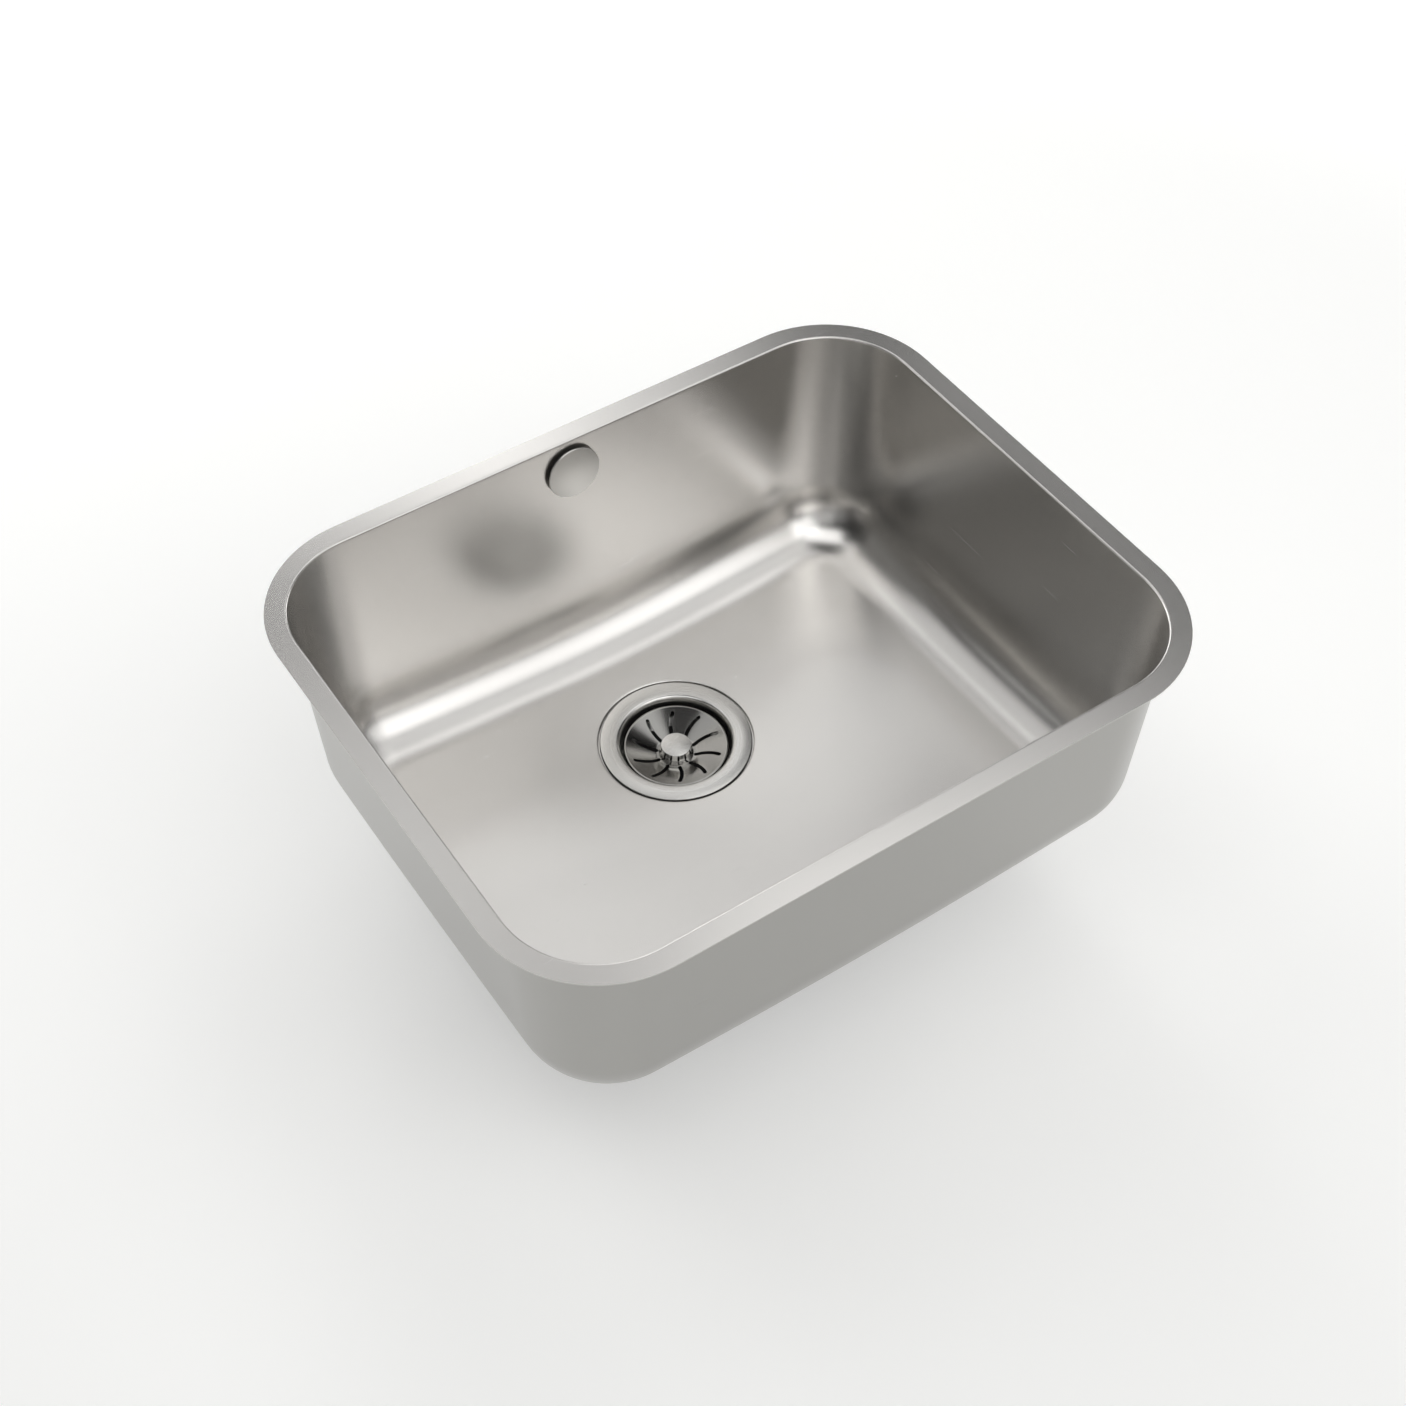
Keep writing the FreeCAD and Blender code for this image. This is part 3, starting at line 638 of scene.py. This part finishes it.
class SINK_OT_fittings(bpy.types.Operator):
    """Finishes of the moulded, rubber and turned pieces that keep their shape"""

    bl_idname = "sink.fittings"
    bl_label = "Waste and fittings"

    def execute(self, context):
        finishes = {
            "waste_plastic": black_polypropylene, "face_plastic": black_polypropylene,
            "light_plastic": white_acetal, "seal_rubber": black_rubber,
            "pad_rubber": bitumen_pad, "screw_steel": turned_screw, "insert_brass": turned_brass,
        }
        for part in frame["record"]["subparts"]:
            node, slot = frame["nodes"][part["node"]], part["material_slot"]
            if node.hide_render or slot not in finishes:
                continue
            for place in node.material_slots:
                place.material = finishes[slot]()
        return {"FINISHED"}


# Materials


def add(tree, kind, links=None, values=None, **settings):
    """Adds a node with its settings, its input values and its links from other nodes."""
    node = tree.nodes.new(kind)
    for name, value in settings.items():
        setattr(node, name, value)
    for name, value in (values or {}).items():
        node.inputs[name].default_value = value
    for name, output in (links or {}).items():
        tree.links.new(output, node.inputs[name])
    return node


def blank(name):
    """New material of this name, or the finished one if there is one already."""
    if name in bpy.data.materials:
        return bpy.data.materials[name], None
    material = bpy.data.materials.new(name)
    material.use_nodes = True
    material.node_tree.nodes.clear()
    return material, material.node_tree


def tone(name):
    """Colour of a finish, as the user sets it."""
    return getattr(bpy.context.scene.sink_finish, name)


def facing(tree):
    """Parts of the surface's direction along X, Y and Z."""
    normal = add(tree, "ShaderNodeTexCoord").outputs["Normal"]
    return add(tree, "ShaderNodeSeparateXYZ", {"Vector": normal}).outputs


def steel(name, base, roughness, lines, depth, variation=0.05, edge=None, outside=None):
    """Stainless steel with brushing lines: height and roughness follow the same grain.

    With an edge, faces that don't look up have that share of the roughness. With an outside
    colour, faces that look down have it as painted shade.
    """
    material, tree = blank(name)
    if tree is None:
        return material
    grain = lines(tree)
    sheen = add(tree, "ShaderNodeMapRange", {"Value": grain},
                {"To Min": roughness - variation, "To Max": roughness + variation})
    sheen = sheen.outputs["Result"]
    if edge is not None:
        # Faces that look up are brushed, the others are left polished
        side = add(tree, "ShaderNodeMapRange", {"Value": facing(tree)["Z"]},
                   {"From Min": 0.8, "From Max": 0.95, "To Min": edge, "To Max": 1.0})
        sheen = add(tree, "ShaderNodeMath", {0: sheen, 1: side.outputs["Result"]},
                    operation="MULTIPLY").outputs[0]
    bump = add(tree, "ShaderNodeBump", {"Height": grain}, {"Strength": 1.0, "Distance": depth})
    shader = add(tree, "ShaderNodeBsdfPrincipled",
                 {"Normal": bump.outputs["Normal"], "Roughness": sheen},
                 {"Metallic": 1.0, "Base Color": (*base, 1)})
    if outside is not None:
        # Painted shade: the drafted walls look a little up inside and a little down outside, and
        # faces that look down get the darker outside colour
        inside = add(tree, "ShaderNodeMapRange", {"Value": facing(tree)["Z"]},
                     {"From Min": -0.02, "From Max": 0.02}).outputs["Result"]
        painted_outside_shade = add(tree, "ShaderNodeMix", {0: inside}, {6: (*outside, 1), 7: (*base, 1)},
                   data_type="RGBA")
        tree.links.new(painted_outside_shade.outputs[2], shader.inputs["Base Color"])
    add(tree, "ShaderNodeOutputMaterial", {"Surface": shader.outputs[0]})
    return material


def straight_lines(tree, way, run, spacing):
    """Brushing along X, Y or Z; the lines' run and spacing are in metres."""
    place = add(tree, "ShaderNodeTexCoord").outputs["Object"]
    scale = [1 / run if axis == way else 1 / spacing for axis in "XYZ"]
    lines = add(tree, "ShaderNodeMapping", {"Vector": place}, {"Scale": scale})
    return add(tree, "ShaderNodeTexNoise", {"Vector": lines.outputs[0]},
               {"Scale": 1.0, "Detail": 3.0, "Roughness": 0.65}).outputs["Fac"]


def round_lines(tree, spacing, centre):
    """Turning or polishing lines about an upright axis through the centre."""
    place = add(tree, "ShaderNodeTexCoord").outputs["Object"]
    flat = add(tree, "ShaderNodeMapping", {"Vector": place},
               {"Location": (-centre.x, -centre.y, 0), "Scale": (1, 1, 0)})
    radius = add(tree, "ShaderNodeVectorMath", {0: flat.outputs[0]}, operation="LENGTH")
    height = add(tree, "ShaderNodeSeparateXYZ", {"Vector": place}).outputs["Z"]
    level = add(tree, "ShaderNodeMath", {0: radius.outputs["Value"], 1: height},
                operation="ADD")
    return add(tree, "ShaderNodeTexNoise", {"W": level.outputs[0]},
               {"Scale": 1 / spacing, "Detail": 2.0, "Roughness": 0.6},
               noise_dimensions="1D").outputs["Fac"]


def satin_sheet():
    """AISI 304 sheet, deep drawn and satin brushed: a soft grey mirror with fine hairlines.

    The outside has a darker colour, painted shade for the dim surroundings it mirrors.
    The real lines are 0.1 mm apart; here they are 0.9 mm, so that they show.
    """
    def lines(tree, run=0.09, spacing=0.0009):
        # Brushed along X on floor, rim, front and back, and along Y on the side walls
        along = straight_lines(tree, "X", run, spacing)
        across = straight_lines(tree, "Y", run, spacing)
        sideways = add(tree, "ShaderNodeMath", {0: facing(tree)["X"]}, operation="ABSOLUTE")
        share = add(tree, "ShaderNodeMapRange", {"Value": sideways.outputs[0]},
                    {"From Min": 0.5, "From Max": 0.9}, interpolation_type="SMOOTHSTEP")
        return add(tree, "ShaderNodeMix", {0: share.outputs["Result"], 2: along, 3: across},
                   data_type="FLOAT").outputs[0]
    return steel("satin_brushed_stainless_sheet", tone("steel"), 0.26, lines,
                 depth=0.0000025, variation=0.03, outside=tone("painted_shade_outside_steel"))


def drain_centre():
    """Middle of the drain, about which its turned pieces are brushed."""
    return drain_place() @ Vector((0, 0, 0))


def turned_ring():
    """AISI 304 ring, pressed and faced on a lathe: bright, with fine circular lines.

    The real lines are 0.05 mm apart; here they are 0.4 mm, so that they show.
    """
    return steel("faced_stainless_ring", tone("bright_steel"), 0.25,
                 lambda tree: round_lines(tree, 0.0004, drain_centre()), depth=0.000003)


def polished_dish():
    """AISI 304 dish, pressed and wheel polished: nearly a mirror, with faint polishing rings. Its
    dark colour is painted shade of the drain.
    """
    return steel("polished_pressed_stainless", tone("dish_steel"), 0.17,
                 lambda tree: round_lines(tree, 0.0012, drain_centre()), depth=0.000003,
                 variation=0.025)


def turned_knob():
    """AISI 304 turned from bar: the top is brushed in straight lines, the side is polished."""
    return steel("turned_stainless_bar", tone("bright_steel"), 0.26,
                 lambda tree: straight_lines(tree, "X", 0.008, 0.0003), depth=0.000003, edge=0.35)


def brushed_cover():
    """AISI 304 disc, blanked from brushed strip: satin, with level lines 0.3 mm apart."""
    return steel("brushed_stainless_disc", tone("bright_steel"), 0.3,
                 lambda tree: straight_lines(tree, "X", 0.02, 0.0003), depth=0.000003)


def turned_screw():
    """A2 steel, cold headed and turned: dull shine with tool marks round it."""
    return steel("turned_stainless_screw", tone("bright_steel"), 0.3,
                 lambda tree: round_lines(tree, 0.0005, drain_centre()), depth=0.000005)


def grained(name, base, grain, roughness, height, variation=0.08, **extra):
    """Moulding, rubber or turned brass: one colour with a fine grain, whose size is in metres."""
    material, tree = blank(name)
    if tree is None:
        return material
    place = add(tree, "ShaderNodeTexCoord").outputs["Object"]
    noise = add(tree, "ShaderNodeTexNoise", {"Vector": place},
                {"Scale": 1 / grain, "Detail": 3.0, "Roughness": 0.55})
    sheen = add(tree, "ShaderNodeMapRange", {"Value": noise.outputs["Fac"]},
                {"To Min": roughness - variation, "To Max": roughness + variation})
    bump = add(tree, "ShaderNodeBump", {"Height": noise.outputs["Fac"]},
               {"Strength": 0.5, "Distance": height})
    shader = add(tree, "ShaderNodeBsdfPrincipled",
                 {"Normal": bump.outputs["Normal"], "Roughness": sheen.outputs["Result"]},
                 {"Base Color": (*base, 1), **extra})
    add(tree, "ShaderNodeOutputMaterial", {"Surface": shader.outputs[0]})
    return material


def black_polypropylene():
    """Polypropylene moulded in a spark-eroded tool: low sheen with a fine grain."""
    return grained("moulded_black_polypropylene", tone("black_plastic"), grain=0.0006,
                   roughness=0.5, height=0.00004)


def hose_plastic():
    """Polyethylene blown into a corrugated tube: waxy and nearly smooth."""
    return grained("blown_grey_polyethylene", tone("hose"), grain=0.002, roughness=0.42,
                   height=0.00003)


def white_acetal():
    """Acetal moulding: smooth, white and slightly waxy."""
    return grained("moulded_white_acetal", rgb("#EDECE6"), grain=0.002, roughness=0.35,
                   height=0.00001)


def black_rubber():
    """Nitrile rubber pressed in a mould: matt, with a dusty grain."""
    return grained("moulded_nitrile_rubber", tone("rubber"), grain=0.0005, roughness=0.75,
                   height=0.00003)


def bitumen_pad():
    """Bitumen sheet rolled on a fibre web: dull, with a coarse leathery skin."""
    return grained("rolled_bitumen_pad", tone("pad"), grain=0.0018, roughness=0.8,
                   height=0.0003)


def turned_brass():
    """CW614N brass turned from bar: warm yellow metal with a soft shine."""
    return grained("turned_brass", rgb("#D9B56A"), grain=0.0008, roughness=0.28,
                   height=0.00001, Metallic=1.0)


# Stage


FLOOR_HALF = 4  # metres from the sink to the floor's edge
FLOOR_GAP = 0.001  # metres between the sink and the floor
LAMP_AIM = UP * -0.1  # inside the bowl, halfway down
CAMERA_PLACE = (-0.5538, -0.8002, 1.0467)
CAMERA_TURN, CAMERA_DIP, CAMERA_ROLL = -33.77, 49.55, -0.05  # degrees
CAMERA_LENS = 55.003  # millimetres, on a sensor 36 wide
# Soft boxes round the sink: azimuth from the back wall, elevation, width and height in
# degrees as the sink sees them, and brightness, where 1 is white
SOFT_BOXES = {
    "back_low": (344, 20, 22, 26, 3.4),
    "back_strip": (16, 34, 13, 11, 3.5),
    "right_low": (72, 20, 26, 26, 2),
    "back_right_low": (20, 20, 26, 22, 1.6),
    "high_right": (52, 64, 20, 18, 0.8),
    "front": (174, 48, 36, 34, 1.2),
    "top_front_left": (225, 72, 44, 26, 1.7),
    "back_left_low": (320, 18, 26, 26, 1.05),
    "back_right": (28, 44, 13, 11, 1.3),
    "front_right": (150, 42, 36, 34, 0.82),
    "back_right_high": (28, 54, 13, 11, 0.9),
    "back_high": (4, 64, 13, 11, 0.8),
    "back_left_high": (330, 54, 30, 30, 0.8),
    "right": (52, 34, 13, 11, 0.62),
    "front_left": (207, 36, 44, 26, 0.57),
    "front_right_high": (120, 58, 36, 34, 0.18),
    "back": (4, 54, 13, 11, 0.74),
    "right_high": (84, 66, 40, 26, 0.84),
    "left_low": (240, 24, 26, 26, 0.25),
    "front_right_low": (130, 36, 30, 26, 0.3),
}


class SINK_OT_stage(bpy.types.Operator):
    """Pale floor, soft studio lamps and the camera"""

    bl_idname = "sink.stage"
    bl_label = "Stage"

    def execute(self, context):
        scene = context.scene
        scene.view_settings.view_transform = "Standard"
        bm = bmesh.new()
        bmesh.ops.create_grid(bm, x_segments=1, y_segments=1, size=FLOOR_HALF)
        bmesh.ops.translate(bm, vec=(0, 0, cad_bounds[0].z - FLOOR_GAP), verts=bm.verts[:])
        floor = as_object(bm, "studio_floor")
        floor.data.materials.append(self.floor_paint())
        self.sky()
        for name, box in SOFT_BOXES.items():
            self.soft_box(name, *box)
        self.camera()
        return {"FINISHED"}

    def floor_paint(self):
        """Matt white paint that camera, metal and glass see near white, with the shadow kept."""
        material, tree = blank("matt_white_floor_paint")
        rays = add(tree, "ShaderNodeLightPath").outputs
        seen = add(tree, "ShaderNodeMath", {0: rays["Is Camera Ray"], 1: rays["Is Glossy Ray"]},
                   operation="MAXIMUM")
        seen = add(tree, "ShaderNodeMath", {0: seen.outputs[0], 1: rays["Is Transmission Ray"]},
                   operation="MAXIMUM")
        # Far from the lamps the floor runs out into the white of the studio's walls
        place = add(tree, "ShaderNodeTexCoord").outputs["Object"]
        away = add(tree, "ShaderNodeVectorMath", {0: place}, operation="LENGTH")
        white = add(tree, "ShaderNodeMapRange", {"Value": away.outputs["Value"]},
                    {"From Min": 1.0, "From Max": 2.5, "To Min": 0.25, "To Max": 1.0},
                    interpolation_type="SMOOTHSTEP")
        glow = add(tree, "ShaderNodeMath", {0: seen.outputs[0], 1: white.outputs["Result"]},
                   operation="MULTIPLY")
        paint = add(tree, "ShaderNodeBsdfPrincipled", {"Emission Strength": glow.outputs[0]},
                    {"Base Color": (*tone("floor"), 1), "Roughness": 0.9,
                     "Emission Color": (1, 1, 1, 1)})
        add(tree, "ShaderNodeOutputMaterial", {"Surface": paint.outputs[0]})
        return material

    def sky(self):
        """White studio walls near the horizon that fade to a dark ceiling."""
        world = bpy.data.worlds.new("studio")
        bpy.context.scene.world = world
        world.use_nodes = True
        tree = world.node_tree
        tree.nodes.clear()
        way = add(tree, "ShaderNodeTexCoord").outputs["Generated"]
        height = add(tree, "ShaderNodeSeparateXYZ", {"Vector": way}).outputs["Z"]
        walls = add(tree, "ShaderNodeMapRange", {"Value": height},
                    {"From Min": 0.08, "From Max": 0.25, "To Min": 1.0, "To Max": 0.0},
                    interpolation_type="SMOOTHSTEP")
        light = add(tree, "ShaderNodeBackground", {"Strength": walls.outputs["Result"]},
                    {"Color": (1, 1, 1, 1)})
        add(tree, "ShaderNodeOutputWorld", {"Surface": light.outputs[0]})

    def soft_box(self, name, azimuth, elevation, width, height, brightness, distance=2.5):
        """Rectangular lamp that faces the bowl and isn't seen itself."""
        lamp = bpy.data.lights.new(name, "AREA")
        lamp.shape = "RECTANGLE"
        lamp.size = 2 * distance * math.tan(math.radians(width) / 2)
        lamp.size_y = 2 * distance * math.tan(math.radians(height) / 2)
        lamp.energy = math.pi * lamp.size * lamp.size_y * brightness
        box = bpy.data.objects.new(name, lamp)
        bpy.context.scene.collection.objects.link(box)
        turn = (Matrix.Rotation(-math.radians(azimuth), 4, "Z")
                @ Matrix.Rotation(math.radians(90 + elevation), 4, "X")
                @ Matrix.Rotation(math.pi, 4, "Y"))
        away = turn @ Vector((0, 0, distance))
        box.matrix_world = Matrix.Translation(away + LAMP_AIM) @ turn
        box.visible_camera = False

    def camera(self):
        """Camera solved from the rim's outline in the photograph."""
        lens = bpy.data.cameras.new("camera")
        lens.lens = CAMERA_LENS
        lens.sensor_width = 36
        lens.clip_end = 50
        camera = bpy.data.objects.new("camera", lens)
        bpy.context.scene.collection.objects.link(camera)
        turn = (Matrix.Rotation(math.radians(CAMERA_TURN), 4, "Z")
                @ Matrix.Rotation(math.radians(90 - CAMERA_DIP), 4, "X")
                @ Matrix.Rotation(math.radians(CAMERA_ROLL), 4, "Z"))
        camera.matrix_world = Matrix.Translation(CAMERA_PLACE) @ turn
        bpy.context.scene.camera = camera


class SINK_PT_panel(bpy.types.Panel):
    """Sink pieces and their sizes"""

    bl_idname = "SINK_PT_panel"
    bl_label = "Undermount sink"
    bl_space_type = "VIEW_3D"
    bl_region_type = "UI"
    bl_category = "Sink"

    def draw(self, context):
        for operator in OPERATORS:
            self.layout.operator(operator.bl_idname)
        for name in GROUPS:
            group = getattr(context.scene, name)
            column = self.layout.column(align=True)
            for field in group.__annotations__:
                column.prop(group, field)


OPERATORS = (SINK_OT_bowl, SINK_OT_strainer_ring, SINK_OT_basket, SINK_OT_overflow_cover,
             SINK_OT_overflow_hose, SINK_OT_fittings, SINK_OT_stage)
GROUPS = {"sink_bowl": SinkBowlSizes, "sink_strainer": SinkStrainerSizes,
          "sink_overflow": SinkOverflowSizes, "sink_finish": SinkFinishes}


def register():
    """Registers the classes and gives the scene their sizes."""
    for kind in (*GROUPS.values(), *OPERATORS, SINK_PT_panel):
        bpy.utils.register_class(kind)
    for name, kind in GROUPS.items():
        setattr(bpy.types.Scene, name, PointerProperty(type=kind))


def unregister():
    """Takes back what register did."""
    for name in GROUPS:
        delattr(bpy.types.Scene, name)
    for kind in reversed((*GROUPS.values(), *OPERATORS, SINK_PT_panel)):
        bpy.utils.unregister_class(kind)


def main():
    """Registers the classes and runs every operator."""
    register()
    bpy.ops.sink.bowl()
    bpy.ops.sink.strainer_ring()
    bpy.ops.sink.basket()
    bpy.ops.sink.overflow_cover()
    bpy.ops.sink.overflow_hose()
    bpy.ops.sink.fittings()
    bpy.ops.sink.stage()


if __name__ == "__main__":
    main()
